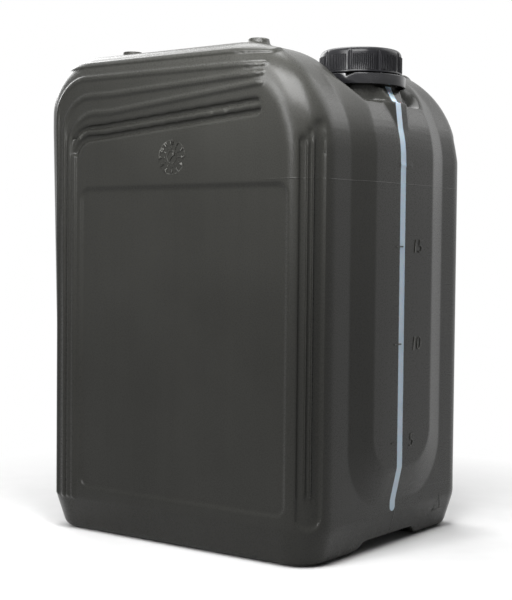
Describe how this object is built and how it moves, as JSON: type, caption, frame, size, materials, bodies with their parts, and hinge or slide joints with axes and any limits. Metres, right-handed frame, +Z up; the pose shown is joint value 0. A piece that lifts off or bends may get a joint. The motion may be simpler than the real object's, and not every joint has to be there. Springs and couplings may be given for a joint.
{
  "type": "jerrycan",
  "caption": "Blow moulded plastic jerrycan with a screw cap, tamper band, moulded handle, view stripe and stacking base.",
  "frame": {"origin": "middle of the base on the ground", "axes": "+X along the large faces towards the neck, +Y across the narrow sides, +Z up"},
  "size_m": [0.2916, 0.245, 0.406],
  "materials": {
    "can_plastic": "satin",
    "clear_stripe": "satin, see-through",
    "cap_plastic": "semi gloss",
    "band_plastic": "gloss",
    "liner": "matt"
  },
  "bodies": {
    "can": {"canister": "can_plastic", "view_stripe": "clear_stripe", "tamper_band": "band_plastic"},
    "lift": {"sealing_disc": "liner"},
    "cap": {"screw_cap": "cap_plastic"}
  },
  "joints": [
    {"name": "cap_lift", "type": "slide", "parent": "can", "child": "lift", "axis": [0, 0, 1], "range_m": [0, 0.024]},
    {"name": "cap_turn", "type": "hinge", "parent": "lift", "child": "cap", "pos_m": [0.1023, 0, 0.39], "axis": [0, 0, 1], "range_deg": [0, 1440]}
  ],
  "couplings": [
    {"joint": "cap_lift", "follows": "cap_turn", "m_per_rad": 0.00095493}
  ]
}
